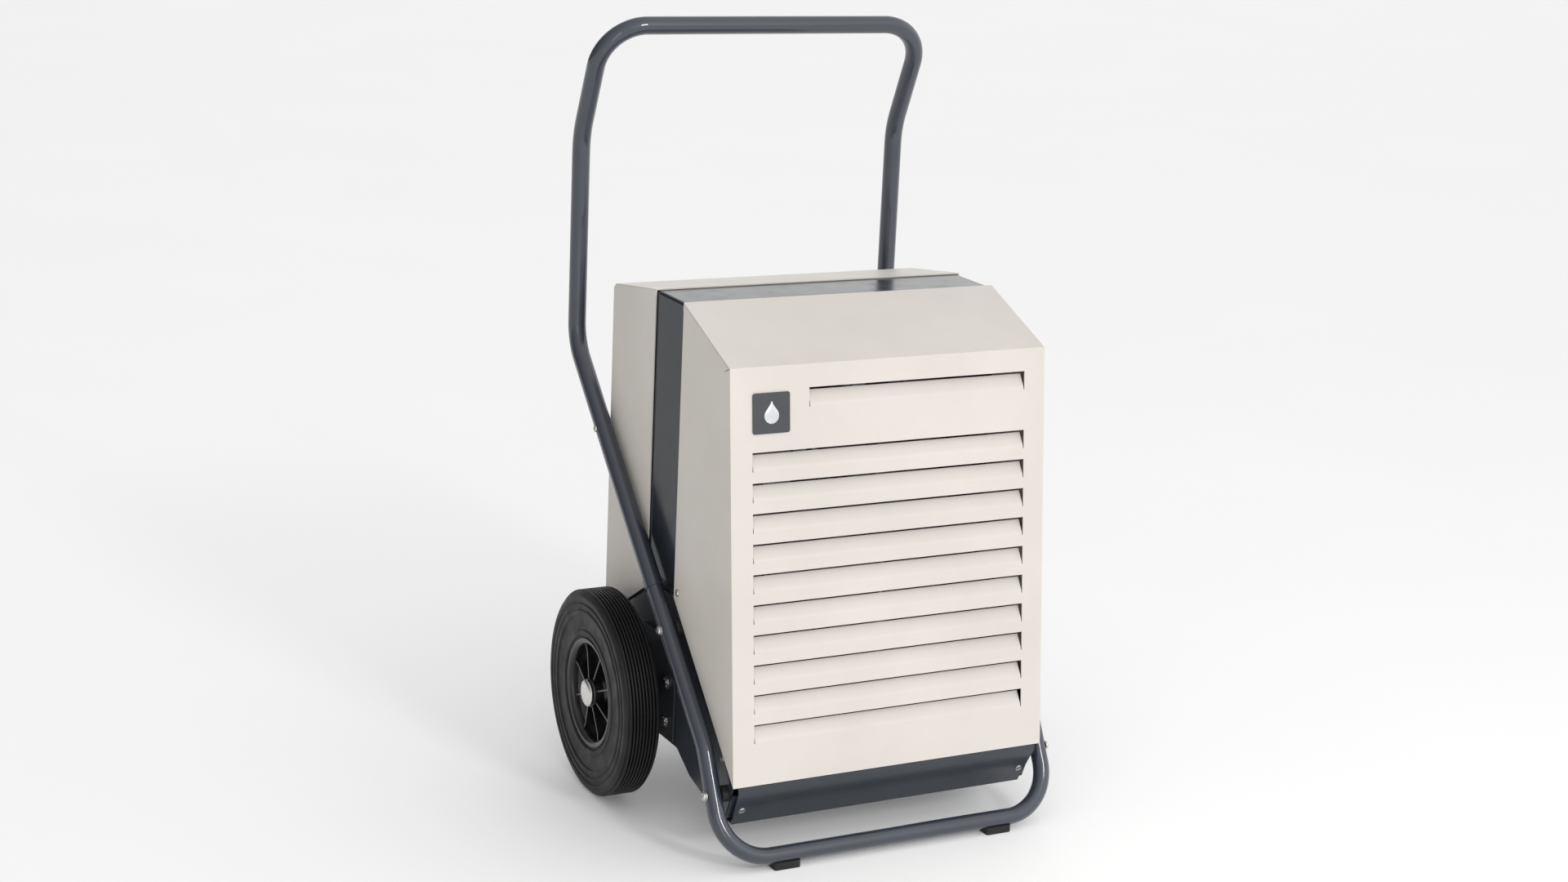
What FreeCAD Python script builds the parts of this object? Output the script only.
import FreeCAD, Part
import math
import os

# Mobile condensation dehumidifier on a two-wheeled tube frame.  Millimetres, +Z up, X across,
# +Y to the rear.  Shapes are drawn from the lower front edge of the front cover (Y = 0) and moved
# by Y_SHIFT when saved, so that the saved object is centred over the origin.
os.makedirs("parts", exist_ok=True)
V = FreeCAD.Vector

# ---- sheet metal body ----
COVER_HALF = 203.0          # half width over the painted covers
BAND_STEP = 1.7             # how far the centre band sits below the covers
SHEET = 1.5                 # cover and band sheet
PLATE = 2.0                 # chassis sheet
FRONT_BOTTOM_Z = 98.0
FRONT_TOP_Y = 51.6
FRONT_TOP_Z = 571.8
BAND_FRONT_Y = 177.5
BAND_REAR_Y = 254.5
BAND_TOP_Z = 620.5
BAND_BOTTOM_Z = 268.0
REAR_Y = 379.0
REAR_TOP_Z = 603.0
REAR_BACK_BOTTOM_Z = 140.0
REAR_CUT_FRONT_Z = 260.0    # lower side edge of the rear cover, at the band
REAR_CUT_REAR_Z = 183.0     # the same edge at the back
JOINT_GAP = 0.6             # visible gap between a cover and the band

# ---- louvres ----
LOUVRE_HALF = 176.0
LOUVRE_TOP_Z = 476.7
LOUVRE_PITCH_Z = 34.3
LOUVRE_ROWS = 10
LOUVRE_HEIGHT = 21.5
LOUVRE_DEPTH = 8.0
LOUVRE_SIDE_GAP = 1.0
LOUVRE_SLIT = 3.4
SHORT_LOUVRE_LEFT = -105.0

# ---- tube frame ----
TUBE_OUT = 13.0             # tube centre outside the covers
TUBE_X = COVER_HALF + TUBE_OUT
LOWER_R = 9.9
UPPER_R = 11.0
TELESCOPE_GAP = 0.05
TUBE_WALL = 1.5
SLANT = math.radians(43.0)
JOINT_Y = 203.5
JOINT_Z = 274.0
OVERLAP = 248.0             # how far the lower tube reaches into the handle tube
KNEE_Y = 52.0
KNEE_BEND = 60.0
BAR_Y = -12.0
BAR_Z = 15.4
BAR_BEND = 58.0
HANDLE_Y = 461.5
HANDLE_KINK_Z = 770.0
HANDLE_TOP_Z = 908.0
HANDLE_TOP_Y = 399.5
HANDLE_CORNER = 56.0
LOCK_ALONG = 224.0          # lock screw, measured up the slope from the tube joint
FOOT_X = 140.0
FOOT_LENGTH = 33.0
FOOT_DEPTH = 20.0
FOOT_HEIGHT = 9.0

# ---- wheels ----
AXLE_Y = 273.3
WHEEL_R = 125.0
AXLE_R = 8.0
RUN_GAP = 0.05
WHEEL_OUT = 54.0            # tyre outer face outside the tube centre
TYRE_OUT_X = TUBE_X + WHEEL_OUT
TYRE_W = 45.0
TYRE_BORE = 62.0
RIM_LIP_R = 67.0
HUB_R = 17.5
BUSH_R = 12.0
RIB_COUNT = 8

# ---- air path ----
DECK_Z = 338.0
FAN_R = 104.0
FAN_Z = 468.0
SHROUD_Y = 262.0
BLADE_COUNT = 5
COIL_HALF = 152.0
COIL_BOTTOM_Z = 352.0
COIL_TOP_Z = 584.0
CONDENSER_Y = 284.0
EVAPORATOR_Y = 330.0
COIL_DEPTH = 34.0
FILTER_HALF = 148.0
FILTER_BOTTOM_Z = 352.0
FILTER_TOP_Z = 582.0
FILTER_DEPTH = 12.0
SLIDE_GAP = 0.5

# ---- water container ----
TANK_LEFT = -185.0
TANK_RIGHT = 75.0
TANK_FRONT_Y = 258.0
TANK_BOTTOM_Z = 148.0
TANK_TOP_Z = 322.0
TANK_WALL = 2.5

# ---- controls ----
PANEL_X0 = 90.0
PANEL_X1 = 190.0
PANEL_Z0 = 200.0
PANEL_Z1 = 330.0
KNOB_X = 140.0
KNOB_Z = 296.0
KNOB_R = 17.0
ROCKER_X = 118.0
ROCKER_Z = 236.0
METER_X = 164.0

FRONT_MOST = BAR_Y - FOOT_DEPTH / 2.0
REAR_MOST = HANDLE_Y + UPPER_R
Y_SHIFT = -(FRONT_MOST + REAR_MOST) / 2.0
LEAN = FRONT_TOP_Y / (FRONT_TOP_Z - FRONT_BOTTOM_Z)
SLOPE_DZ = BAND_TOP_Z - FRONT_TOP_Z
SLOPE_DY = BAND_FRONT_Y - FRONT_TOP_Y
SIDES = (("left", -1.0), ("right", 1.0))


def save(node, shape):
    # Write one node, moved into the saved frame.
    out = shape.copy()
    out.translate(V(0, Y_SHIFT, 0))
    out.exportStep("parts/%s.step" % node)
    kind = out.ShapeType
    print("%-22s %-9s solids %2d  volume %.0f" % (node, kind, len(out.Solids), out.Volume))


def box(x0, x1, y0, y1, z0, z1):
    return Part.makeBox(x1 - x0, y1 - y0, z1 - z0, V(x0, y0, z0))


def cyl(r, start, direction, length):
    return Part.makeCylinder(r, length, V(*start), V(*direction))


def ring(r_out, r_in, start, direction, length):
    return cyl(r_out, start, direction, length).cut(cyl(r_in, start, direction, length))


def prism_x(points, x0, x1):
    # Side profile given as (y, z) points, extruded across.
    wire = Part.makePolygon([V(x0, y, z) for y, z in points] + [V(x0, points[0][0], points[0][1])])
    return Part.Face(wire).extrude(V(x1 - x0, 0, 0))


def prism_y(points, y0, y1):
    wire = Part.makePolygon([V(x, y0, z) for x, z in points] + [V(points[0][0], y0, points[0][1])])
    return Part.Face(wire).extrude(V(0, y1 - y0, 0))


def revolve_x(points, y, z):
    # Closed profile of (x, radius) points turned about an axis along X at (y, z).
    wire = Part.makePolygon([V(x, y, z + r) for x, r in points] + [V(points[0][0], y, z + points[0][1])])
    return Part.Face(wire).revolve(V(0, y, z), V(1, 0, 0), 360)


def fuse_all(shapes):
    out = shapes[0]
    if len(shapes) > 1:
        out = shapes[0].multiFuse(shapes[1:])
    return out.removeSplitter()


def round_edges(shape, radius, wanted):
    # Fillet the edges for which wanted(edge) holds; with none, the shape stays as it is.
    edges = [e for e in shape.Edges if wanted(e)]
    if not edges:
        return shape
    return shape.makeFillet(radius, edges)


def path(points, radii):
    # Wire of straight runs joined by arcs; one radius per inner point.
    edges = []
    start = points[0]
    for i in range(1, len(points) - 1):
        a = points[i].sub(points[i - 1]).normalize()
        b = points[i + 1].sub(points[i]).normalize()
        angle = a.getAngle(b)
        reach = radii[i - 1] * math.tan(angle / 2.0)
        p = points[i].sub(V(a).multiply(reach))
        q = points[i].add(V(b).multiply(reach))
        to_mid = V(b).sub(a).normalize()
        mid = points[i].add(V(to_mid).multiply(radii[i - 1] / math.cos(angle / 2.0) - radii[i - 1]))
        edges.append(Part.makeLine(start, p))
        edges.append(Part.Arc(p, mid, q).toShape())
        start = q
    edges.append(Part.makeLine(start, points[-1]))
    return Part.Wire(edges)


def sweep(wire, radius):
    first = wire.Edges[0]
    start = first.valueAt(first.FirstParameter)
    direction = first.tangentAt(first.FirstParameter)
    circle = Part.Wire([Part.Circle(start, direction, radius).toShape()])
    return wire.makePipeShell([circle], True, False)


def tube(points, radii, r_out, r_in):
    line = path(points, radii)
    outer = sweep(line, r_out)
    if r_in <= 0:
        return outer
    return outer.cut(sweep(line, r_in))


def front_y(z):
    # Outer face of the leaning front panel.
    return (z - FRONT_BOTTOM_Z) * LEAN


def slope_y(along):
    return JOINT_Y + along * math.cos(SLANT)


def slope_z(along):
    return JOINT_Z + along * math.sin(SLANT)


# ------------------------------------------------------------------ tube frame and feet
KNEE_Z = JOINT_Z - (JOINT_Y - KNEE_Y) * math.tan(SLANT)
lower_points = [
    V(-TUBE_X, slope_y(OVERLAP), slope_z(OVERLAP)),
    V(-TUBE_X, KNEE_Y, KNEE_Z),
    V(-TUBE_X, BAR_Y, BAR_Z),
    V(TUBE_X, BAR_Y, BAR_Z),
    V(TUBE_X, KNEE_Y, KNEE_Z),
    V(TUBE_X, slope_y(OVERLAP), slope_z(OVERLAP)),
]
lower_radii = [KNEE_BEND, BAR_BEND, BAR_BEND, KNEE_BEND]
frame_tube = tube(lower_points, lower_radii, LOWER_R, LOWER_R - TUBE_WALL)

# Frame-to-chassis fixing points (y, z) on the tube axis.
FIX_TOP = (slope_y(-56.0), slope_z(-56.0))
FIX_LOW_Z = 83.0
FIX_LOW = (BAR_Y + (FIX_LOW_Z - BAR_Z) * (KNEE_Y - BAR_Y) / (KNEE_Z - BAR_Z), FIX_LOW_Z)
FIXES = (FIX_TOP, FIX_LOW)
BOLT_R = 3.0
FOOT_STUD_R = 2.5
CHASSIS_HALF = COVER_HALF - BAND_STEP - SHEET - 0.3
HOLE_IN = 9.5               # side holes are cut from this far inside the chassis
for name, s in SIDES:
    for y, z in FIXES:
        frame_tube = frame_tube.cut(cyl(BOLT_R, (s * (TUBE_X - 15), y, z), (s, 0, 0), 30))
for s in (-1.0, 1.0):
    frame_tube = frame_tube.cut(cyl(FOOT_STUD_R, (s * FOOT_X, BAR_Y, BAR_Z), (0, 0, -1), LOWER_R + 2))
save("frame_tube", frame_tube)

full_frame = sweep(path(lower_points, lower_radii), LOWER_R)
for name, s in SIDES:
    x = s * FOOT_X
    foot = box(x - FOOT_LENGTH / 2.0, x + FOOT_LENGTH / 2.0, FRONT_MOST, FRONT_MOST + FOOT_DEPTH,
               0.0, FOOT_HEIGHT)
    foot = round_edges(foot, 3.0, lambda e: abs(e.BoundBox.ZLength - FOOT_HEIGHT) < 0.01)
    stud = cyl(FOOT_STUD_R, (x, BAR_Y, 2.0), (0, 0, 1), BAR_Z - LOWER_R + 2.0)
    save("foot_" + name, foot.cut(full_frame).fuse(stud).removeSplitter())

buffers = []
bolts = []
for name, s in SIDES:
    for y, z in FIXES:
        inner = CHASSIS_HALF
        outer = TUBE_X - LOWER_R + 1.4
        pad = cyl(9.5, (s * inner, y, z), (s, 0, 0), outer - inner)
        pad = pad.cut(cyl(BOLT_R, (s * inner, y, z), (s, 0, 0), 30))
        buffers.append(pad)
        head = TUBE_X + LOWER_R - 0.6
        bolt_start = CHASSIS_HALF - PLATE - 5
        bolt = cyl(BOLT_R, (s * bolt_start, y, z), (s, 0, 0), head + 1 - bolt_start)
        bolt = bolt.fuse(cyl(6.0, (s * (TUBE_X + LOWER_R), y, z), (s, 0, 0), 1.4))
        dome_at = V(s * (TUBE_X + LOWER_R + 1.4), y, z)
        bolt = bolt.fuse(Part.makeCone(5.2, 3.4, 2.6, dome_at, V(s, 0, 0)))
        bolt = bolt.fuse(cyl(5.5, (s * (CHASSIS_HALF - PLATE - 4.5), y, z), (s, 0, 0), 4.5))
        bolts.append(bolt)
save("frame_buffers", Part.makeCompound([pad.cut(full_frame) for pad in buffers]))
# ------------------------------------------------------------------ chassis
side_profile = [
    (6.0, 101.0), (29.0, 46.0), (66.0, 52.5), (124.0, 66.5), (162.0, 87.0), (222.0, 86.0),
    (372.0, 101.0), (372.0, 200.0), (290.0, 290.0), (140.0, 290.0), (14.0, 130.0),
]
floor_profile = [
    (29.0, 46.0), (66.0, 52.5), (124.0, 66.5), (162.0, 87.0), (222.0, 86.0),
    (372.0, 101.0), (372.0, 118.0), (372.0 - PLATE, 118.0), (372.0 - PLATE, 101.0 + PLATE),
    (222.0, 86.0 + PLATE), (162.0, 87.0 + PLATE), (124.0, 66.5 + PLATE), (66.0, 52.5 + PLATE),
    (29.0, 46.0 + PLATE),
]
tab_profile = [(9.5, 84.0), (27.0, 51.0), (28.5, 51.8), (11.0, 84.8)]
plates = []
for name, s in SIDES:
    x0, x1 = sorted((s * CHASSIS_HALF, s * (CHASSIS_HALF - PLATE)))
    plates.append(prism_x(side_profile, x0, x1))
    plates.append(prism_x(tab_profile, *sorted((s * 174.0, s * (CHASSIS_HALF - 1.0)))))
chassis = fuse_all(plates + [prism_x(floor_profile, -CHASSIS_HALF, CHASSIS_HALF)])
for name, s in SIDES:
    for y, z in FIXES:
        chassis = chassis.cut(cyl(BOLT_R, (s * (CHASSIS_HALF - HOLE_IN), y, z), (s, 0, 0), 20))
    chassis = chassis.cut(cyl(AXLE_R, (s * (CHASSIS_HALF - HOLE_IN), AXLE_Y, WHEEL_R), (s, 0, 0), 20))

apron_half = CHASSIS_HALF - 3.5
apron_screw_x = apron_half - 12.0
apron = prism_x([
    (3.8, 112.0), (3.8, 97.2), (0.8, 97.2), (0.8, 89.5), (25.4, 43.0), (37.0, 44.2),
    (37.0, 45.7), (26.4, 44.6), (2.3, 90.0), (2.3, 95.7), (5.3, 95.7), (5.3, 112.0),
], -apron_half, apron_half)
taper = 5.0
for s in (-1.0, 1.0):
    cutter = prism_y([
        (s * apron_half, FRONT_BOTTOM_Z), (s * (apron_half + 5), FRONT_BOTTOM_Z),
        (s * (apron_half + 5), 40.0), (s * (apron_half - taper), 40.0),
    ], -10.0, 60.0)
    apron = apron.cut(cutter)
apron_tilt = math.degrees(math.atan2(25.4 - 0.8, 89.5 - 43.0))
apron_normal = (0.0, -math.cos(math.radians(apron_tilt)), -math.sin(math.radians(apron_tilt)))
APRON_SCREW_Z = 64.0
apron_screw_y = 0.8 + (89.5 - APRON_SCREW_Z) * (25.4 - 0.8) / (89.5 - 43.0)
apron_screws = []
for s in (-1.0, 1.0):
    tip = [s * apron_screw_x, apron_screw_y - apron_normal[1] * 6.0, APRON_SCREW_Z - apron_normal[2] * 6.0]
    stem = cyl(2.0, tip, apron_normal, 7.0)
    head_at = V(s * apron_screw_x, apron_screw_y, APRON_SCREW_Z)
    head = Part.makeCone(4.4, 3.2, 1.8, head_at, V(*apron_normal))
    hole = cyl(2.0, tip, apron_normal, 14.0)
    apron = apron.cut(hole)
    chassis = chassis.cut(hole)
    apron_screws.append(stem.fuse(head).removeSplitter())
save("front_apron", apron)

LINER_SCREW = (37.0, 120.5)     # small screw through each side of the chassis, near its front
BRACKET_BOLTS = ((187.0, 160.0), (187.0, 112.0), (306.0, 160.0), (306.0, 112.0))
for name, s in SIDES:
    x0, x1 = sorted((s * (CHASSIS_HALF + 0.2), s * (CHASSIS_HALF + 3.2)))
    profile = [
        (168.0, 92.0), (222.0, 89.0), (322.0, 98.0), (322.0, 176.0), (262.0, 212.0), (168.0, 212.0)]
    plate = prism_x(profile, x0, x1)
    boss_x = s * (CHASSIS_HALF + 3.2)
    plate = plate.fuse(cyl(16.0, (boss_x, AXLE_Y, WHEEL_R), (s, 0, 0), 8.0))
    plate = plate.cut(cyl(AXLE_R, (s * (CHASSIS_HALF - HOLE_IN), AXLE_Y, WHEEL_R), (s, 0, 0), 40))
    for y, z in BRACKET_BOLTS:
        plate = plate.cut(cyl(BOLT_R, (s * (CHASSIS_HALF - HOLE_IN), y, z), (s, 0, 0), 20))
        chassis = chassis.cut(cyl(BOLT_R, (s * (CHASSIS_HALF - HOLE_IN), y, z), (s, 0, 0), 20))
    save("wheel_bracket_" + name, plate.removeSplitter())

for name, s in SIDES:
    y, z = LINER_SCREW
    chassis = chassis.cut(cyl(2.0, (s * (CHASSIS_HALF - HOLE_IN), y, z), (s, 0, 0), 20))
    liner = cyl(2.0, (s * (CHASSIS_HALF - 6.0), y, z), (s, 0, 0), 6.0)
    liner = liner.fuse(Part.makeCone(4.0, 3.0, 1.8, V(s * CHASSIS_HALF, y, z), V(s, 0, 0)))
    bolts.append(liner.removeSplitter())

for name, s in SIDES:
    for y, z in BRACKET_BOLTS:
        face = CHASSIS_HALF + 3.2
        bolt = cyl(BOLT_R, (s * (CHASSIS_HALF - PLATE - 5), y, z), (s, 0, 0), PLATE + 5 + 3.2 + 3)
        bolt = bolt.fuse(cyl(5.5, (s * face, y, z), (s, 0, 0), 3.6))
        bolt = bolt.fuse(cyl(5.5, (s * (CHASSIS_HALF - PLATE), y, z), (-s, 0, 0), 4.5))
        bolts.append(bolt.removeSplitter())
save("frame_bolts", Part.makeCompound(bolts))

# ------------------------------------------------------------------ axle and wheels
AXLE_HALF = TYRE_OUT_X - 0.2
axle = cyl(AXLE_R, (-AXLE_HALF, AXLE_Y, WHEEL_R), (1, 0, 0), 2 * AXLE_HALF)
save("axle", axle)
caps = []

for name, s in SIDES:
    mid = s * (TYRE_OUT_X - TYRE_W / 2.0)
    half = TYRE_W / 2.0
    crown = [(-half, 100.0), (-half, 116.0), (-half + 2.0, 121.5)]
    groove_step = (TYRE_W - 11.0) / 8.0
    for i in range(8):
        x = -half + 5.5 + i * groove_step
        crown += [
            (x, WHEEL_R), (x + 2.6, WHEEL_R), (x + 3.2, WHEEL_R - 2.2),
            (x + groove_step - 0.6, WHEEL_R - 2.2)]
    crown += [(half - 5.5, WHEEL_R), (half - 2.0, 121.5), (half, 116.0), (half, 100.0)]
    inner = [
        (half - 1.5, 99.0), (half - 1.5, 84.0), (half - 3.5, 83.0), (half - 3.5, 70.0),
        (half - 4.5, 69.0), (half - 4.5, TYRE_BORE),
        (-half + 4.5, TYRE_BORE), (-half + 4.5, 69.0), (-half + 3.5, 70.0), (-half + 3.5, 83.0),
        (-half + 1.5, 84.0), (-half + 1.5, 99.0),
    ]
    tyre = revolve_x([(mid + s * x, r) for x, r in crown + inner], AXLE_Y, WHEEL_R)
    save("tyre_" + name, tyre)

    lip = half - 4.5
    rim_profile = [
        (-lip, TYRE_BORE), (lip, TYRE_BORE), (lip, RIM_LIP_R), (lip + 2.5, RIM_LIP_R),
        (lip + 2.5, 58.5), (4.0, 55.0), (4.0, 30.0), (3.0, HUB_R), (half - 3.0, HUB_R),
        (half - 3.0, BUSH_R), (-half + 3.0, BUSH_R), (-half + 3.0, HUB_R), (-3.0, HUB_R),
        (-4.0, 30.0), (-4.0, 55.0), (-lip - 2.5, 58.5), (-lip - 2.5, RIM_LIP_R), (-lip, RIM_LIP_R),
    ]
    rim = revolve_x([(mid + s * x, r) for x, r in rim_profile], AXLE_Y, WHEEL_R)
    ribs = []
    for i in range(RIB_COUNT):
        for face in (-1.0, 1.0):
            xs = sorted((mid + face * 2.0, mid + face * (half - 6.5)))
            rib = box(xs[0], xs[1], AXLE_Y - 1.6, AXLE_Y + 1.6, WHEEL_R + HUB_R - 2.0, WHEEL_R + 58.0)
            rib.rotate(V(0, AXLE_Y, WHEEL_R), V(1, 0, 0), 22.5 + 360.0 / RIB_COUNT * i)
            ribs.append(rib)
    rim = fuse_all([rim] + ribs)
    save("rim_" + name, rim)

    bush_half = half - 3.2
    bush = ring(BUSH_R, AXLE_R + RUN_GAP, (mid - bush_half, AXLE_Y, WHEEL_R), (1, 0, 0), 2 * bush_half)
    save("wheel_bush_" + name, bush)

    cap_start = s * (TYRE_OUT_X - 2.0)
    caps.append(revolve_x([
        (cap_start, 16.3), (cap_start + s * 2.0, 16.3), (cap_start + s * 3.4, 14.8),
        (cap_start + s * 4.6, 11.0), (cap_start + s * 5.2, 5.0), (cap_start + s * 5.3, 0.0),
        (s * AXLE_HALF, 0.0), (s * AXLE_HALF, AXLE_R), (cap_start, AXLE_R),
    ], AXLE_Y, WHEEL_R))
save("axle_caps", Part.makeCompound(caps))

spacers = []
for s in (-1.0, 1.0):
    start = CHASSIS_HALF + 11.2
    length = TYRE_OUT_X - TYRE_W + 2.0 - start - 0.3
    spacers.append(ring(13.0, AXLE_R, (s * start, AXLE_Y, WHEEL_R), (s, 0, 0), length))
save("axle_spacers", Part.makeCompound(spacers))

# ------------------------------------------------------------------ handle
r_in = LOWER_R + TELESCOPE_GAP
kink_vertex = V(-TUBE_X, HANDLE_Y, HANDLE_KINK_Z)
slope_top_z = JOINT_Z + (HANDLE_Y - JOINT_Y) * math.tan(SLANT)
handle_left = [
    V(-TUBE_X, JOINT_Y, JOINT_Z), V(-TUBE_X, HANDLE_Y, slope_top_z), kink_vertex,
    V(-TUBE_X, HANDLE_TOP_Y, HANDLE_TOP_Z),
]
handle_points = handle_left + [V(-p.x, p.y, p.z) for p in reversed(handle_left)]
handle_radii = [61.0, 100.0, HANDLE_CORNER, HANDLE_CORNER, 100.0, 61.0]
handle = tube(handle_points, handle_radii, UPPER_R, r_in)
lock_y = slope_y(LOCK_ALONG)
lock_z = slope_z(LOCK_ALONG)
for s in (-1.0, 1.0):
    handle = handle.cut(cyl(2.0, (s * (TUBE_X + 5), lock_y, lock_z), (s, 0, 0), 10))
save("handle_tube", handle)
lock_screws = []
for s in (-1.0, 1.0):
    x = TUBE_X + UPPER_R
    screw = cyl(2.0, (s * (x - 1.1), lock_y, lock_z), (s, 0, 0), 1.6)
    screw = screw.fuse(Part.makeCone(4.2, 3.0, 2.0, V(s * (x + 0.1), lock_y, lock_z), V(s, 0, 0)))
    lock_screws.append(screw.removeSplitter())
save("handle_screws", Part.makeCompound(lock_screws))

# ------------------------------------------------------------------ cover screws and centre band
SCREW_R = 2.0
cover_screw_points = []
for s in (-1, 1):
    for y in (166.0, 266.0):
        cover_screw_points.append((s, y, 278.0))
screw_holes = Part.makeCompound([
    cyl(SCREW_R, (s * (CHASSIS_HALF - HOLE_IN), y, z), (s, 0, 0), 20) for s, y, z in cover_screw_points])
chassis = chassis.cut(screw_holes)
save("chassis", chassis)

band_half = COVER_HALF - BAND_STEP
band_y0 = BAND_FRONT_Y + JOINT_GAP
band_y1 = BAND_REAR_Y - JOINT_GAP
band_top = BAND_TOP_Z - BAND_STEP
outer = box(-band_half, band_half, band_y0, band_y1, BAND_BOTTOM_Z, band_top)
outer = round_edges(outer, 4.0, lambda e: abs(e.BoundBox.ZMin - band_top) < 0.01
                    and e.BoundBox.YLength > 20)
inner = box(-band_half + SHEET, band_half - SHEET, band_y0 - 1, band_y1 + 1,
            BAND_BOTTOM_Z - 1, band_top - SHEET)
band_parts = [outer.cut(inner)]
LIP = 17.0                  # the band's side lips run under both covers
for name, s in SIDES:
    xs = sorted((s * band_half, s * (band_half - SHEET)))
    band_parts.append(box(xs[0], xs[1], band_y0 - LIP, band_y1 + LIP,
                          BAND_BOTTOM_Z + 5.0, BAND_TOP_Z - 24.0))
band = fuse_all(band_parts).cut(screw_holes)
save("centre_band", band)

# ------------------------------------------------------------------ front cover
diag_bottom_z = BAND_BOTTOM_Z + 0.5
front_outer = prism_x([
    (0.0, FRONT_BOTTOM_Z), (FRONT_TOP_Y, FRONT_TOP_Z), (BAND_FRONT_Y, BAND_TOP_Z),
    (BAND_FRONT_Y, diag_bottom_z),
], -COVER_HALF, COVER_HALF)
front_outer = round_edges(front_outer, 1.6, lambda e: e.BoundBox.XLength < 1 and (
    e.BoundBox.YMax < FRONT_TOP_Y + 1 or e.BoundBox.ZMin > FRONT_TOP_Z - 1) and e.BoundBox.ZLength > 5)
inner_lean = math.hypot(1.0, LEAN) * SHEET
slope_len = math.hypot(SLOPE_DY, SLOPE_DZ)
drop = SHEET * slope_len / SLOPE_DY
slope_k = SLOPE_DZ / SLOPE_DY


def under_slope_z(y):
    # Inner face of the sloping top panel of the front cover.
    return FRONT_TOP_Z + (y - FRONT_TOP_Y) * slope_k - drop


corner_y = (inner_lean + (FRONT_TOP_Z - drop - FRONT_TOP_Y * slope_k - FRONT_BOTTOM_Z) * LEAN) / (
    1 - slope_k * LEAN)
inner_points = [
    (inner_lean - 40 * LEAN, FRONT_BOTTOM_Z - 40.0), (corner_y, under_slope_z(corner_y)),
    (BAND_FRONT_Y + 5.0, under_slope_z(BAND_FRONT_Y + 5.0)), (BAND_FRONT_Y + 5.0, FRONT_BOTTOM_Z - 40.0),
]
front_cover = front_outer.cut(prism_x(inner_points, -COVER_HALF + SHEET, COVER_HALF - SHEET))
lean_angle = math.atan(LEAN)


def panel_point(z, inward):
    # A point at height z on the front face, moved square into the cover.
    return (front_y(z) + inward * math.cos(lean_angle), z - inward * math.sin(lean_angle))


louvre_rows = [(LOUVRE_TOP_Z + 2 * LOUVRE_PITCH_Z, SHORT_LOUVRE_LEFT)]
louvre_rows += [(LOUVRE_TOP_Z - i * LOUVRE_PITCH_Z, -LOUVRE_HALF) for i in range(LOUVRE_ROWS)]
windows = []
flaps = []
for top_z, left in louvre_rows:
    low_z = top_z - LOUVRE_HEIGHT
    windows.append(prism_x([
        panel_point(low_z, -3), panel_point(top_z, -3), panel_point(top_z, 6), panel_point(low_z, 6)],
        left, LOUVRE_HALF))
    flap_top = top_z - LOUVRE_SLIT
    flap = prism_x([
        panel_point(low_z - 0.4, 0), panel_point(low_z + 0.6, 0), panel_point(flap_top, LOUVRE_DEPTH),
        panel_point(flap_top - 0.8, LOUVRE_DEPTH + SHEET), panel_point(low_z - 0.4, SHEET)],
        left, LOUVRE_HALF)
    for x, s in ((left, 1.0), (LOUVRE_HALF, -1.0)):
        wedge = prism_y([
            (x - s * 1.0, low_z + 0.6), (x + s * LOUVRE_SIDE_GAP, low_z + 0.6),
            (x + s * LOUVRE_SIDE_GAP, top_z + 2), (x - s * 1.0, top_z + 2)], -20.0, 90.0)
        flap = flap.cut(wedge)
    flaps.append(flap)
front_cover = front_cover.cut(Part.makeCompound(windows))
front_cover = front_cover.multiFuse(flaps)
front_cover = fuse_all([front_cover]).cut(screw_holes)
save("front_cover", front_cover)

badge_mid_x = -153.0
badge_z = 520.0
by, bz = panel_point(badge_z, 0.0)
badge = Part.makeBox(46.0, 1.6, 46.0, V(badge_mid_x - 23.0, 0, -23.0))
badge = round_edges(badge, 3.0, lambda e: abs(e.BoundBox.YLength - 1.6) < 0.01)
badge.rotate(V(0, 0, 0), V(1, 0, 0), -math.degrees(lean_angle))
badge.translate(V(0, by - 1.6 * math.cos(lean_angle), bz + 1.6 * math.sin(lean_angle)))
save("badge_plate", badge)

# ------------------------------------------------------------------ rear cover
rear_half = COVER_HALF + 0.5
rear_outer = prism_x([
    (BAND_REAR_Y, BAND_TOP_Z), (REAR_Y, REAR_TOP_Z), (REAR_Y, REAR_CUT_REAR_Z),
    (BAND_REAR_Y, REAR_CUT_FRONT_Z)], -rear_half, rear_half)
rear_outer = round_edges(rear_outer, 9.0, lambda e: abs(e.BoundBox.YMin - REAR_Y) < 0.01
                         and e.BoundBox.XLength > 100 and e.BoundBox.ZMin > 500)
rear_outer = round_edges(rear_outer, 1.6, lambda e: abs(e.BoundBox.YMin - REAR_Y) < 0.01
                         and e.BoundBox.XLength < 1 and e.BoundBox.ZLength > 50)
rear_k = (BAND_TOP_Z - REAR_TOP_Z) / (REAR_Y - BAND_REAR_Y)
rear_drop = SHEET * math.hypot(1.0, rear_k)
rear_inner = prism_x([
    (BAND_REAR_Y - 5.0, BAND_TOP_Z + 5.0 * rear_k - rear_drop),
    (REAR_Y - SHEET, REAR_TOP_Z + SHEET * rear_k - rear_drop),
    (REAR_Y - SHEET, 60.0), (BAND_REAR_Y - 5.0, 60.0)], -rear_half + SHEET, rear_half - SHEET)
rear_inner = round_edges(rear_inner, 7.5, lambda e: abs(e.BoundBox.YMin - (REAR_Y - SHEET)) < 0.01
                         and e.BoundBox.XLength > 100 and e.BoundBox.ZMin > 500)
rear_cover = rear_outer.cut(rear_inner)
skirt = box(-CHASSIS_HALF, CHASSIS_HALF, REAR_Y - SHEET, REAR_Y, REAR_BACK_BOTTOM_Z, REAR_CUT_REAR_Z + 2)
rear_cover = rear_cover.fuse(skirt)
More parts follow.
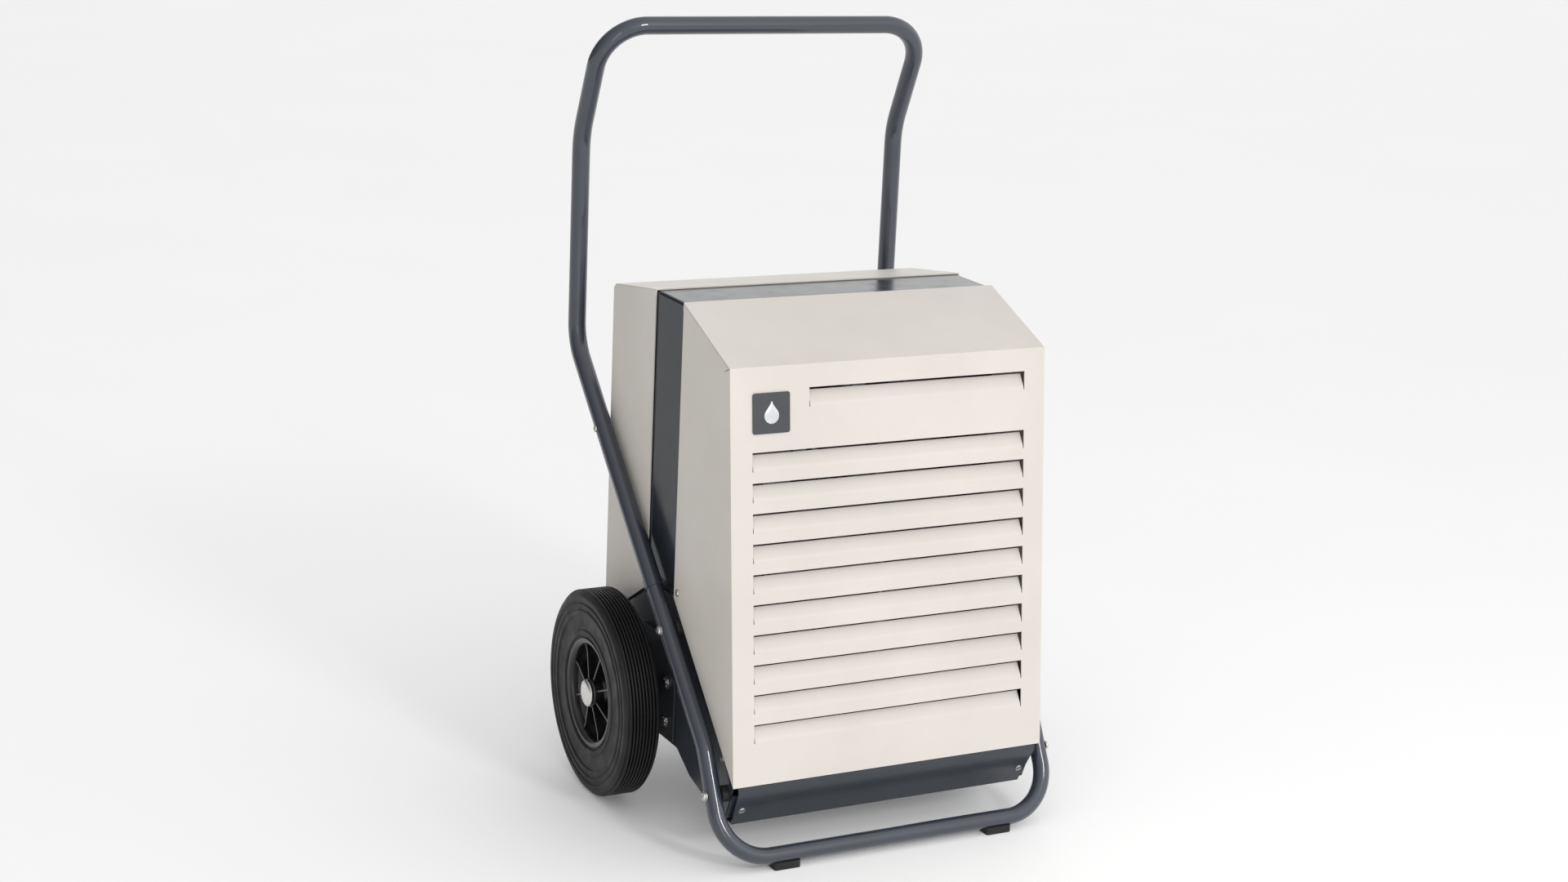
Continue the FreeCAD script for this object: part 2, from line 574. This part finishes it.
rear_cover = rear_cover.cut(box(-140.0, 140.0, REAR_Y - 5, REAR_Y + 5, 362.0, 574.0))
rear_cover = rear_cover.cut(box(TANK_LEFT - 2, TANK_RIGHT + 2, REAR_Y - 5, REAR_Y + 5, TANK_BOTTOM_Z - 2,
                                TANK_TOP_Z + 3))
rear_cover = rear_cover.cut(box(PANEL_X0 + 4, PANEL_X1 - 4, REAR_Y - 5, REAR_Y + 5,
                                PANEL_Z0 + 4, PANEL_Z1 - 4))
GLAND_X = 140.0
GLAND_Z = 168.0
rear_cover = rear_cover.cut(cyl(8.0, (GLAND_X, REAR_Y - 5, GLAND_Z), (0, 1, 0), 10))
rear_cover = rear_cover.cut(screw_holes)
save("rear_cover", rear_cover.removeSplitter())

screws = []
for s, y, z in cover_screw_points:
    face = COVER_HALF if y < BAND_FRONT_Y else rear_half
    screw = cyl(SCREW_R, (s * (face - 9.0), y, z), (s, 0, 0), 9.5)
    screw = screw.fuse(Part.makeCone(4.6, 3.4, 1.8, V(s * face, y, z), V(s, 0, 0)))
    screws.append(screw.removeSplitter())
save("cover_screws", Part.makeCompound(screws + apron_screws))

# ------------------------------------------------------------------ intake grille, rails and filter
bars = [box(-144.0, 144.0, REAR_Y - 3.1, REAR_Y - 1.6, 358.0, 578.0).cut(
    box(-134.0, 134.0, REAR_Y - 4, REAR_Y, 368.0, 568.0))]
for i in range(11):
    z = 380.0 + i * 17.6
    bars.append(box(-135.0, 135.0, REAR_Y - 3.1, REAR_Y - 1.6, z, z + 2.4))
for i in range(5):
    x = -90.0 + i * 45.0
    bars.append(box(x - 1.2, x + 1.2, REAR_Y - 3.1, REAR_Y - 1.6, 367.0, 569.0))
save("intake_grille", fuse_all(bars))

rail_out = FILTER_HALF + SLIDE_GAP + 2.0
rails = []
for name, s in SIDES:
    web = box(*sorted((s * (FILTER_HALF + SLIDE_GAP), s * rail_out)), REAR_Y, REAR_Y + FILTER_DEPTH + 4,
              FILTER_BOTTOM_Z - 4, FILTER_TOP_Z)
    lip = box(*sorted((s * (FILTER_HALF - 8), s * rail_out)), REAR_Y + FILTER_DEPTH + 2.0,
              REAR_Y + FILTER_DEPTH + 4, FILTER_BOTTOM_Z - 4, FILTER_TOP_Z)
    stop = box(*sorted((s * (FILTER_HALF - 8), s * rail_out)), REAR_Y, REAR_Y + FILTER_DEPTH + 4,
               FILTER_BOTTOM_Z - 4, FILTER_BOTTOM_Z - 1)
    rails.append(fuse_all([web, lip, stop]))
save("filter_rails", Part.makeCompound(rails))
fy0 = REAR_Y + 1.0
fy1 = fy0 + FILTER_DEPTH - 1.0
filter_frame = box(-FILTER_HALF, FILTER_HALF, fy0, fy1, FILTER_BOTTOM_Z, FILTER_TOP_Z).cut(
    box(-FILTER_HALF + 12, FILTER_HALF - 12, fy0 - 1, fy1 + 1, FILTER_BOTTOM_Z + 12, FILTER_TOP_Z - 12))
mesh_bars = []
for i in range(1, 4):
    x = -FILTER_HALF + 12 + i * (2 * FILTER_HALF - 24) / 4.0
    mesh_bars.append(box(x - 1.5, x + 1.5, fy1 - 2.5, fy1, FILTER_BOTTOM_Z + 11, FILTER_TOP_Z - 11))
pull = box(-30.0, 30.0, fy1, fy1 + 9.0, FILTER_TOP_Z - 10, FILTER_TOP_Z - 7)
filter_frame = fuse_all([filter_frame, pull] + mesh_bars)
save("filter_frame", filter_frame)
save("filter_mat", box(-FILTER_HALF + 12, FILTER_HALF - 12, fy0 + 1.0, fy1 - 2.5, FILTER_BOTTOM_Z + 12,
                       FILTER_TOP_Z - 12))

# ------------------------------------------------------------------ pipe routes
# Copper lines, each a run of straight lengths from one fitting to the next.
PIPE_R = 3.2
CAPILLARY_R = 1.5
COMP_X = -70.0
COMP_Y = 158.0
COMP_R = 62.0
COMP_Z0 = 104.0
COMP_H = 150.0
DRIER_X = 40.0
DRIER_Y = 120.0
DRIER_Z0 = 150.0
DRIER_Z1 = 240.0
COIL_PIPE_R = 4.0
COIL_ROWS = 9
COIL_PITCH = (COIL_TOP_Z - COIL_BOTTOM_Z) / COIL_ROWS
COIL_END = COIL_HALF + 8.0
low_row_z = COIL_BOTTOM_Z + COIL_PITCH / 2.0
top_row_z = COIL_TOP_Z - COIL_PITCH / 2.0
evap_y = EVAPORATOR_Y + COIL_DEPTH / 2.0
cond_y = CONDENSER_Y + COIL_DEPTH / 2.0
comp_top = COMP_Z0 + COMP_H
pipe_runs = {
    "suction_pipe": (PIPE_R, [
        V(COMP_X + 25, COMP_Y, comp_top), V(COMP_X + 25, COMP_Y, 285), V(185, COMP_Y, 285),
        V(185, evap_y, 285), V(185, evap_y, top_row_z), V(COIL_END, evap_y, top_row_z)]),
    "discharge_pipe": (PIPE_R, [
        V(COMP_X - 25, COMP_Y, comp_top), V(COMP_X - 25, COMP_Y, 305), V(-191, COMP_Y, 305),
        V(-191, cond_y, 305), V(-191, cond_y, low_row_z), V(-COIL_END, cond_y, low_row_z)]),
    "liquid_pipe": (PIPE_R, [
        V(DRIER_X, DRIER_Y, DRIER_Z1), V(DRIER_X, DRIER_Y, 325), V(192, DRIER_Y, 325),
        V(192, cond_y, 325), V(192, cond_y, top_row_z), V(COIL_END, cond_y, top_row_z)]),
    "capillary_pipe": (CAPILLARY_R, [
        V(DRIER_X, DRIER_Y, DRIER_Z0), V(DRIER_X, DRIER_Y, 132), V(DRIER_X, 236, 132),
        V(-180, 236, 132), V(-180, 236, 330), V(-180, evap_y, 330), V(-180, evap_y, low_row_z),
        V(-COIL_END, evap_y, low_row_z)]),
}
PIPE_CLEAR = 2.0
pipe_voids = []
for name in sorted(pipe_runs):
    r, points = pipe_runs[name]
    line = path(points, [9.0] * (len(points) - 2))
    save(name, sweep(line, r))
    pipe_voids.append(sweep(line, r + PIPE_CLEAR))
pipe_voids = Part.makeCompound(pipe_voids)

# ------------------------------------------------------------------ deck, bulkhead and air path
DRAIN_X = TANK_LEFT + 80.0
DRAIN_Y = 300.0
DRAIN_R = 5.0
deck_half = CHASSIS_HALF - PLATE - 0.5
back_inside = REAR_Y - SHEET - 0.3
deck = box(-deck_half, deck_half, 60.0, back_inside, DECK_Z, DECK_Z + SHEET)
deck = deck.cut(cyl(DRAIN_R, (DRAIN_X, DRAIN_Y, DECK_Z - 5), (0, 0, 1), 10))
save("deck_plate", deck.cut(pipe_voids))

BULKHEAD_Y = 246.0
bulkhead = fuse_all([
    box(-deck_half, deck_half, BULKHEAD_Y, BULKHEAD_Y + SHEET, 90.6, DECK_Z),
    box(-deck_half, deck_half, BULKHEAD_Y, BULKHEAD_Y + 10.0, DECK_Z - SHEET, DECK_Z),
])
save("bulkhead", bulkhead.cut(pipe_voids))

shelf_z = TANK_BOTTOM_Z - 0.5
shelf_y = BULKHEAD_Y + SHEET
shelf_parts = [box(TANK_LEFT - 3, TANK_RIGHT + 3, shelf_y, back_inside, shelf_z - SHEET, shelf_z)]
for x in (TANK_LEFT - 3, TANK_RIGHT + 3 - SHEET):
    shelf_parts.append(box(x, x + SHEET, shelf_y, back_inside, shelf_z - SHEET, shelf_z + 20))
save("tank_shelf", fuse_all(shelf_parts))

shroud = box(-195.0, 195.0, SHROUD_Y, SHROUD_Y + SHEET, DECK_Z + SHEET, 606.0)
shroud = shroud.cut(cyl(FAN_R + 3.0, (0, SHROUD_Y - 1, FAN_Z), (0, 1, 0), 5))
shroud = shroud.fuse(ring(FAN_R + 4.5, FAN_R + 3.0, (0, SHROUD_Y - 22.0, FAN_Z), (0, 1, 0), 22.0))
MOTOR_R = 41.0
MOTOR_Y0 = 150.0
MOTOR_Y1 = 214.0
SHAFT_R = 4.0
motor = cyl(MOTOR_R, (0, MOTOR_Y0, FAN_Z), (0, 1, 0), MOTOR_Y1 - MOTOR_Y0)
motor = round_edges(motor, 5.0, lambda e: e.BoundBox.YLength < 0.1)
motor = motor.cut(cyl(SHAFT_R + RUN_GAP, (0, MOTOR_Y1 - 30.0, FAN_Z), (0, 1, 0), 40))
save("fan_motor", motor)
spider = [shroud, ring(MOTOR_R + 3.0, MOTOR_R, (0, 190.0, FAN_Z), (0, 1, 0), 10.0)]
for angle in (45.0, 135.0, 225.0, 315.0):
    arm = box(MOTOR_R + 1.0, FAN_R + 12.0, 193.0, 196.0, FAN_Z - 6.0, FAN_Z + 6.0)
    arm = arm.fuse(box(FAN_R + 9.0, FAN_R + 12.0, 193.0, SHROUD_Y, FAN_Z - 6.0, FAN_Z + 6.0))
    arm.rotate(V(0, 0, FAN_Z), V(0, 1, 0), angle)
    spider.append(arm)
save("fan_shroud", fuse_all(spider))

FAN_Y = 242.0
shaft_y0 = MOTOR_Y1 - 28.0
fan_parts = [cyl(24.0, (0, FAN_Y - 12.0, FAN_Z), (0, 1, 0), 24.0),
             cyl(SHAFT_R, (0, shaft_y0, FAN_Z), (0, 1, 0), FAN_Y - shaft_y0)]
for i in range(BLADE_COUNT):
    outline = [
        (-17.0, 20.0), (17.0, 20.0), (31.0, FAN_R - 6.0), (0.0, FAN_R - 1.0), (-31.0, FAN_R - 6.0)]
    points = [V(x, -1.0, z) for x, z in outline]
    blade = Part.Face(Part.makePolygon(points + [points[0]])).extrude(V(0, 2.0, 0))
    blade.rotate(V(0, 0, 0), V(0, 0, 1), 24.0)
    blade.rotate(V(0, 0, 0), V(0, 1, 0), 360.0 / BLADE_COUNT * i)
    blade.translate(V(0, FAN_Y, FAN_Z))
    fan_parts.append(blade)
save("fan_rotor", fuse_all(fan_parts))

# ------------------------------------------------------------------ refrigerant circuit
for label, y0 in (("evaporator", EVAPORATOR_Y), ("condenser", CONDENSER_Y)):
    fins = box(-COIL_HALF, COIL_HALF, y0, y0 + COIL_DEPTH, COIL_BOTTOM_Z, COIL_TOP_Z)
    yc = y0 + COIL_DEPTH / 2.0
    rows = []
    for i in range(COIL_ROWS):
        z = COIL_BOTTOM_Z + COIL_PITCH * (i + 0.5)
        rows.append(cyl(COIL_PIPE_R, (-COIL_END, yc, z), (1, 0, 0), 2 * COIL_END))
    fins = fins.cut(Part.makeCompound(rows))
    for i in range(COIL_ROWS - 1):
        z = COIL_BOTTOM_Z + COIL_PITCH * (i + 1.0)
        s = 1.0 if i % 2 == 0 else -1.0
        bend = Part.makeTorus(COIL_PITCH / 2.0, COIL_PIPE_R, V(s * COIL_END, yc, z), V(0, 1, 0))
        keep = box(*sorted((s * COIL_END, s * (COIL_END + 40))), yc - 10, yc + 10, z - 30, z + 30)
        rows.append(bend.common(keep))
    save(label + "_fins", fins)
    save(label + "_coil", fuse_all(rows))

can = cyl(COMP_R, (COMP_X, COMP_Y, COMP_Z0), (0, 0, 1), COMP_H)
can = round_edges(can, 20.0, lambda e: e.BoundBox.ZLength < 0.1)
foot_plate = box(COMP_X - 74, COMP_X + 74, COMP_Y - 52, COMP_Y + 52, COMP_Z0 + 6, COMP_Z0 + 9)
compressor = fuse_all([can, foot_plate])
STUD_R = 4.0
under_floor = prism_x([
    (0.0, 0.0), (0.0, 48.0), (29.0, 46.0 + PLATE), (66.0, 52.5 + PLATE), (124.0, 66.5 + PLATE),
    (162.0, 87.0 + PLATE), (222.0, 86.0 + PLATE), (372.0, 101.0 + PLATE), (372.0, 0.0)], -190, 190)
pads = []
nuts = []
for a in (-1, 1):
    for b in (-1, 1):
        x = COMP_X + a * 63.0
        y = COMP_Y + b * 42.0
        compressor = compressor.cut(cyl(STUD_R, (x, y, COMP_Z0), (0, 0, 1), 20))
        pad = ring(9.0, STUD_R, (x, y, 60.0), (0, 0, 1), COMP_Z0 + 6 - 60.0)
        pads.append(pad.cut(under_floor))
        stud = cyl(STUD_R, (x, y, COMP_Z0 - 4.0), (0, 0, 1), 20.0)
        nuts.append(stud.fuse(cyl(7.0, (x, y, COMP_Z0 + 9.0), (0, 0, 1), 5.0)).removeSplitter())
save("compressor", compressor)
save("compressor_mounts", Part.makeCompound(pads))
save("compressor_nuts", Part.makeCompound(nuts))
drier = cyl(11.0, (DRIER_X, DRIER_Y, DRIER_Z0), (0, 0, 1), DRIER_Z1 - DRIER_Z0)
save("filter_drier", round_edges(drier, 6.0, lambda e: e.BoundBox.ZLength < 0.1))

PAN_Y0 = EVAPORATOR_Y - 50.0
PAN_Y1 = back_inside - 0.5
pan = box(-176.0, 172.0, PAN_Y0, PAN_Y1, DECK_Z + SHEET, DECK_Z + 12.0)
pan = pan.cut(box(-174.5, 170.5, PAN_Y0 + SHEET, PAN_Y1 - SHEET, DECK_Z + 2 * SHEET, DECK_Z + 20.0))
pan = pan.cut(cyl(3.6, (DRAIN_X, DRAIN_Y, DECK_Z), (0, 0, 1), 6))
spout = ring(DRAIN_R - 0.2, 3.6, (DRAIN_X, DRAIN_Y, 326.0), (0, 0, 1), DECK_Z + 2 * SHEET - 326.0)
save("drip_pan", fuse_all([pan, spout]))

control_box = box(66.0, CHASSIS_HALF - PLATE, 56.0, 104.0, 92.0, 196.0)
save("control_box", round_edges(control_box, 3.0, lambda e: e.BoundBox.ZLength > 100
                                and e.BoundBox.XMax < 70))

# ------------------------------------------------------------------ water container
front_y1 = REAR_Y + 0.5
tank = box(TANK_LEFT, TANK_RIGHT, TANK_FRONT_Y, front_y1, TANK_BOTTOM_Z, TANK_TOP_Z)
tank = round_edges(tank, 8.0, lambda e: e.BoundBox.ZLength > 100 and e.BoundBox.YMax < TANK_FRONT_Y + 1)
hollow = box(TANK_LEFT + TANK_WALL, TANK_RIGHT - TANK_WALL, TANK_FRONT_Y + TANK_WALL, front_y1 - 18.0,
             TANK_BOTTOM_Z + TANK_WALL, TANK_TOP_Z + 5)
hollow = round_edges(hollow, 6.0, lambda e: e.BoundBox.ZLength > 100)
tank = tank.cut(hollow)
# Finger pocket behind the bail, open to the rear.
BAIL_X0 = -130.0
BAIL_X1 = 20.0
BAIL_Z = 286.0
pocket = box(BAIL_X0 - 4, BAIL_X1 + 4, front_y1 - 13.0, front_y1 + 2, BAIL_Z - 46.0, BAIL_Z + 10.0)
tank = tank.cut(pocket)
PIN_R = 3.0
BAIL_Y = front_y1 - 5.0
tank = tank.cut(cyl(PIN_R + RUN_GAP, (BAIL_X0 - 12, BAIL_Y, BAIL_Z), (1, 0, 0), BAIL_X1 - BAIL_X0 + 24))
save("tank", tank)
BAIL_R = 4.2
bail_low = BAIL_Z - 34.0
bail = tube([V(BAIL_X0 + 4, BAIL_Y, BAIL_Z), V(BAIL_X0 + 4, BAIL_Y, bail_low),
             V(BAIL_X1 - 4, BAIL_Y, bail_low), V(BAIL_X1 - 4, BAIL_Y, BAIL_Z)], [10.0, 10.0], BAIL_R, 0)
bail = fuse_all([bail] + [
    cyl(5.0, (x0, BAIL_Y, BAIL_Z), (1, 0, 0), 8.0) for x0 in (BAIL_X0, BAIL_X1 - 8.0)] + [
    cyl(PIN_R, (x0, BAIL_Y, BAIL_Z), (1, 0, 0), 12.0) for x0 in (BAIL_X0 - 10.0, BAIL_X1 - 2.0)])
save("tank_bail", bail)

# Float switch: the bracket hangs from the deck, the lever rides over the container's mouth.
FLOAT_X = 20.0
FLOAT_Y = 290.0
FLOAT_Z = 329.0
FLOAT_PIN_R = 1.5
bracket = fuse_all([
    box(FLOAT_X - 12, FLOAT_X + 12, FLOAT_Y - 10, FLOAT_Y + 10, DECK_Z - 2.0, DECK_Z),
    box(FLOAT_X - 12, FLOAT_X - 10, FLOAT_Y - 6, FLOAT_Y + 6, FLOAT_Z - 4, DECK_Z),
    box(FLOAT_X + 10, FLOAT_X + 12, FLOAT_Y - 6, FLOAT_Y + 6, FLOAT_Z - 4, DECK_Z),
    cyl(FLOAT_PIN_R, (FLOAT_X - 11, FLOAT_Y, FLOAT_Z), (1, 0, 0), 22.0),
])
save("float_bracket", bracket)
lever = fuse_all([
    cyl(4.0, (FLOAT_X - 8, FLOAT_Y, FLOAT_Z), (1, 0, 0), 16.0),
    box(FLOAT_X - 5, FLOAT_X + 5, FLOAT_Y, FLOAT_Y + 46.0, FLOAT_Z - 2.0, FLOAT_Z + 1.0),
])
pin_hole = cyl(FLOAT_PIN_R + RUN_GAP, (FLOAT_X - 20, FLOAT_Y, FLOAT_Z), (1, 0, 0), 40)
save("float_lever", lever.cut(pin_hole))

# ------------------------------------------------------------------ control panel
panel = box(PANEL_X0, PANEL_X1, REAR_Y, REAR_Y + 2.5, PANEL_Z0, PANEL_Z1)
panel = round_edges(panel, 5.0, lambda e: abs(e.BoundBox.YLength - 2.5) < 0.01)
STEM_R = 3.0
ROCK_W = 15.0
ROCK_H = 24.0
panel = panel.cut(cyl(STEM_R + RUN_GAP, (KNOB_X, REAR_Y - 5, KNOB_Z), (0, 1, 0), 20))
panel = panel.cut(box(ROCKER_X - ROCK_W / 2 - 2, ROCKER_X + ROCK_W / 2 + 2, REAR_Y - 5, REAR_Y + 5,
                      ROCKER_Z - ROCK_H / 2 - 2, ROCKER_Z + ROCK_H / 2 + 2))
METER_Z = 244.0
panel = panel.cut(box(METER_X - 13, METER_X + 13, REAR_Y - 5, REAR_Y + 5, METER_Z - 8, METER_Z + 8))
lamps = []
for x in (METER_X - 9.0, METER_X + 9.0):
    panel = panel.cut(cyl(3.5, (x, REAR_Y - 5, 218.0), (0, 1, 0), 20))
    lamp = cyl(3.5, (x, REAR_Y - 4.0, 218.0), (0, 1, 0), 6.5)
    lamps.append(lamp.fuse(Part.makeCone(4.6, 3.2, 2.4, V(x, REAR_Y + 2.5, 218.0), V(0, 1, 0))))
save("control_panel", panel)
save("lamps", Part.makeCompound(lamps))
save("hour_meter", fuse_all([
    box(METER_X - 13, METER_X + 13, REAR_Y - 24, REAR_Y + 2.5, METER_Z - 8, METER_Z + 8),
    box(METER_X - 15, METER_X + 15, REAR_Y + 2.5, REAR_Y + 4.0, METER_Z - 10, METER_Z + 10)]))
knob = fuse_all([
    cyl(KNOB_R, (KNOB_X, REAR_Y + 3.0, KNOB_Z), (0, 1, 0), 4.0),
    Part.makeCone(KNOB_R - 3.0, KNOB_R - 4.5, 11.0, V(KNOB_X, REAR_Y + 7.0, KNOB_Z), V(0, 1, 0)),
    cyl(STEM_R, (KNOB_X, REAR_Y - 9.0, KNOB_Z), (0, 1, 0), 13.0),
    box(KNOB_X - 1.0, KNOB_X + 1.0, REAR_Y + 6.0, REAR_Y + 7.6, KNOB_Z + 8.0, KNOB_Z + KNOB_R - 1),
])
save("humidity_knob", knob)
rocker_y = REAR_Y - 1.0
bezel = box(ROCKER_X - ROCK_W / 2 - 2, ROCKER_X + ROCK_W / 2 + 2, REAR_Y - 14, REAR_Y + 2.5,
            ROCKER_Z - ROCK_H / 2 - 2, ROCKER_Z + ROCK_H / 2 + 2)
bezel = bezel.fuse(box(ROCKER_X - ROCK_W / 2 - 4, ROCKER_X + ROCK_W / 2 + 4, REAR_Y + 2.5, REAR_Y + 4.0,
                       ROCKER_Z - ROCK_H / 2 - 4, ROCKER_Z + ROCK_H / 2 + 4))
bezel = bezel.cut(box(ROCKER_X - ROCK_W / 2 - 0.4, ROCKER_X + ROCK_W / 2 + 0.4, REAR_Y - 12.0, REAR_Y + 6,
                      ROCKER_Z - ROCK_H / 2 - 0.8, ROCKER_Z + ROCK_H / 2 + 0.8))
bezel = bezel.cut(cyl(1.5 + RUN_GAP, (ROCKER_X - 9.0, rocker_y, ROCKER_Z), (1, 0, 0), 18.0))
save("rocker_bezel", bezel.removeSplitter())
rocker = prism_x([
    (rocker_y - 4.0, ROCKER_Z - 9.0), (rocker_y + 3.0, ROCKER_Z - 11.5),
    (rocker_y + 5.2, ROCKER_Z - 11.0), (rocker_y + 3.8, ROCKER_Z), (rocker_y + 7.6, ROCKER_Z + 10.4),
    (rocker_y + 5.6, ROCKER_Z + 11.5), (rocker_y - 4.0, ROCKER_Z + 9.0)],
    ROCKER_X - ROCK_W / 2, ROCKER_X + ROCK_W / 2)
rocker = rocker.fuse(cyl(1.5, (ROCKER_X - 9.0, rocker_y, ROCKER_Z), (1, 0, 0), 18.0))
save("rocker", rocker.removeSplitter())
gland = ring(8.0, 4.0, (GLAND_X, REAR_Y - 12.0, GLAND_Z), (0, 1, 0), 12.0)
gland = gland.fuse(ring(12.0, 4.0, (GLAND_X, REAR_Y, GLAND_Z), (0, 1, 0), 6.0))
gland = gland.fuse(ring(9.5, 4.0, (GLAND_X, REAR_Y + 6.0, GLAND_Z), (0, 1, 0), 8.0))
save("cable_gland", gland.removeSplitter())
